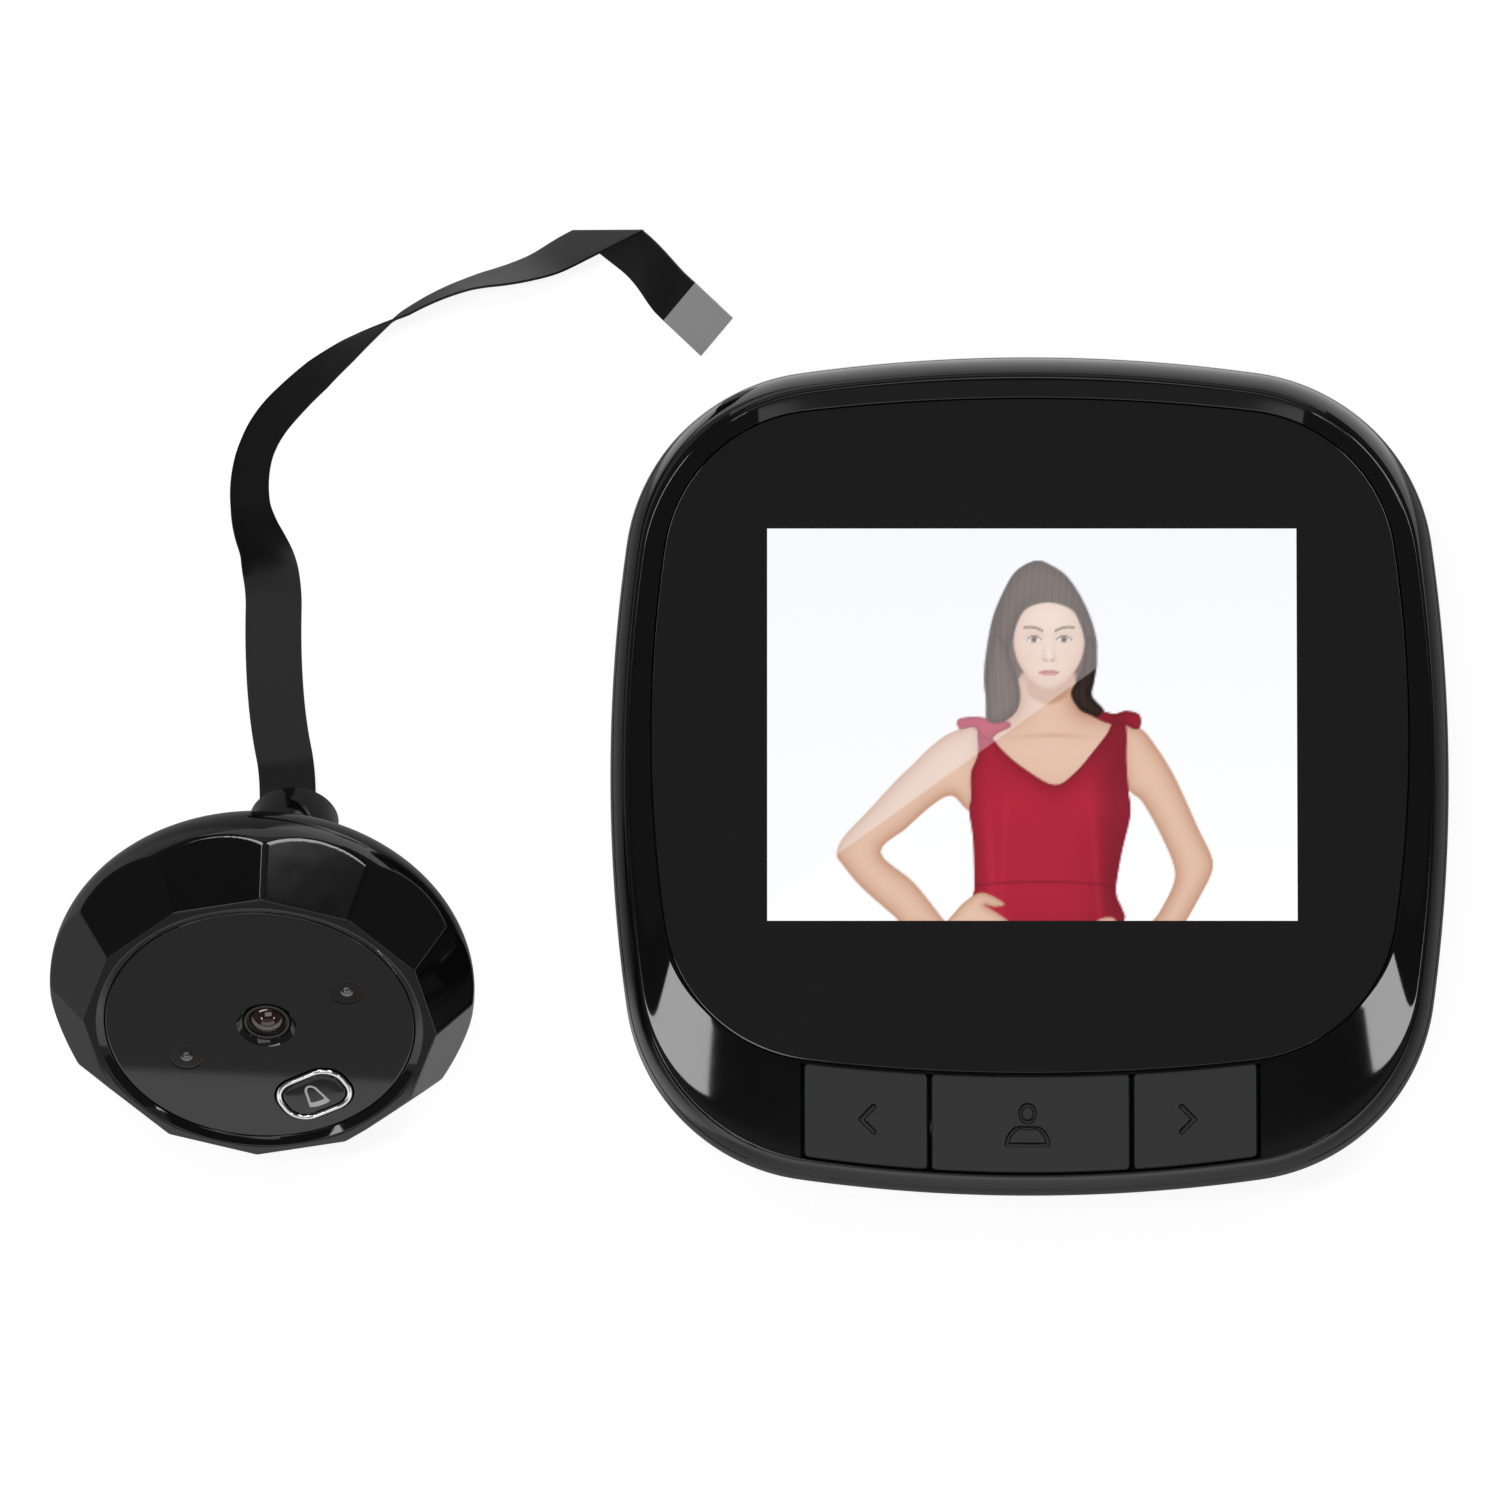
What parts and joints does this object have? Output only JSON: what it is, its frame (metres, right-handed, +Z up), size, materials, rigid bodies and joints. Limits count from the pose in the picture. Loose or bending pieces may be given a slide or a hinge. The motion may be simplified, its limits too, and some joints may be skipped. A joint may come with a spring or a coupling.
{
  "type": "peephole door camera",
  "caption": "Door viewer with a soft-square indoor screen unit, a round faceted outdoor camera head with a bell button and through-door barrel, and the flat ribbon cable between them.",
  "frame": {"origin": "centre of the indoor unit's flat back, which lies on the floor", "axes": "+Z up, out of the screen of the indoor unit; +Y towards the top edge of its screen; +X to the right of its screen. The camera head lies beside it at -X on its rim and its barrel's end."},
  "size_m": [0.1609, 0.1162, 0.0416],
  "materials": {
    "case_gloss": "high-gloss black moulded plastic",
    "panel_gloss": "clear acrylic over black print, polished",
    "key_satin": "satin dark grey moulded plastic with engraved signs",
    "screen_glass": "polished display glass",
    "tray_white": "white moulded backlight tray",
    "film_amber": "amber flex film",
    "foam_black": "black foam tape",
    "board_green": "green solder mask",
    "part_black": "black moulded component",
    "socket_cream": "cream moulded connector",
    "steel": "plain steel",
    "cell_wrap": "plain dark grey cell sleeve",
    "disc_gloss": "tinted clear disc over black print, polished",
    "chrome": "bright chrome plating",
    "cap_gloss": "gloss black cap with a printed bell outline",
    "lens_clear": "coated lens glass",
    "sensor_dark": "dark image sensor",
    "lamp_tint": "dark tinted clear lamp",
    "ribbon_black": "satin black flat cable",
    "ribbon_grey": "grey stiffener with bare contacts"
  },
  "bodies": {
    "units": {"front_housing": "case_gloss", "rear_housing": "case_gloss", "screen_panel": "panel_gloss", "panel_adhesive": "foam_black", "lcd_panel": "screen_glass", "lcd_backlight": "tray_white", "lcd_flex": "film_amber", "main_board": "board_green", "board_screws": "steel", "key_switches": "part_black", "ribbon_socket": "socket_cream", "power_switch": "steel", "speaker": "part_black", "batteries": "cell_wrap", "battery_plates": "steel", "battery_springs": "steel", "case_screws": "steel", "head_shell": "case_gloss", "head_glass": "disc_gloss", "glass_adhesive": "foam_black", "button_ring": "chrome", "bell_switch": "part_black", "head_board": "board_green", "lens_holder": "part_black", "lens_barrel": "part_black", "lens_glass": "lens_clear", "image_sensor": "sensor_dark", "ir_leds": "lamp_tint", "head_connector": "socket_cream", "ribbon_inner": "ribbon_black", "head_back_plate": "case_gloss", "back_pad": "foam_black", "barrel_tube": "case_gloss", "head_screws": "steel", "ribbon_cable": "ribbon_black", "ribbon_tip": "ribbon_grey"},
    "left_key": {"left_key": "key_satin", "left_plunger": "part_black"},
    "call_key": {"call_key": "key_satin", "call_plunger": "part_black"},
    "right_key": {"right_key": "key_satin", "right_plunger": "part_black"},
    "bell_button": {"bell_button": "cap_gloss", "bell_plunger": "part_black"},
    "battery_cover": {"battery_cover": "case_gloss"},
    "power_knob": {"power_knob": "part_black"},
    "socket_latch": {"socket_latch": "part_black"}
  },
  "joints": [
    {"name": "left_key_press", "type": "slide", "parent": "units", "child": "left_key", "axis": [0, 0, -1], "range_m": [0, 0.0005], "stiffness_N_per_m": 3000},
    {"name": "call_key_press", "type": "slide", "parent": "units", "child": "call_key", "axis": [0, 0, -1], "range_m": [0, 0.0005], "stiffness_N_per_m": 3000},
    {"name": "right_key_press", "type": "slide", "parent": "units", "child": "right_key", "axis": [0, 0, -1], "range_m": [0, 0.0005], "stiffness_N_per_m": 3000},
    {"name": "bell_button_press", "type": "slide", "parent": "units", "child": "bell_button", "axis": [0.0332, 0.7933, -0.608], "range_m": [0, 0.0004], "stiffness_N_per_m": 3500},
    {"name": "battery_cover_slide", "type": "slide", "parent": "units", "child": "battery_cover", "axis": [0, 1, 0], "range_m": [0, 0.006]},
    {"name": "power_knob_slide", "type": "slide", "parent": "units", "child": "power_knob", "axis": [1, 0, 0], "range_m": [0, 0.002]},
    {"name": "socket_latch_slide", "type": "slide", "parent": "units", "child": "socket_latch", "axis": [0, 1, 0], "range_m": [0, 0.001]}
  ]
}
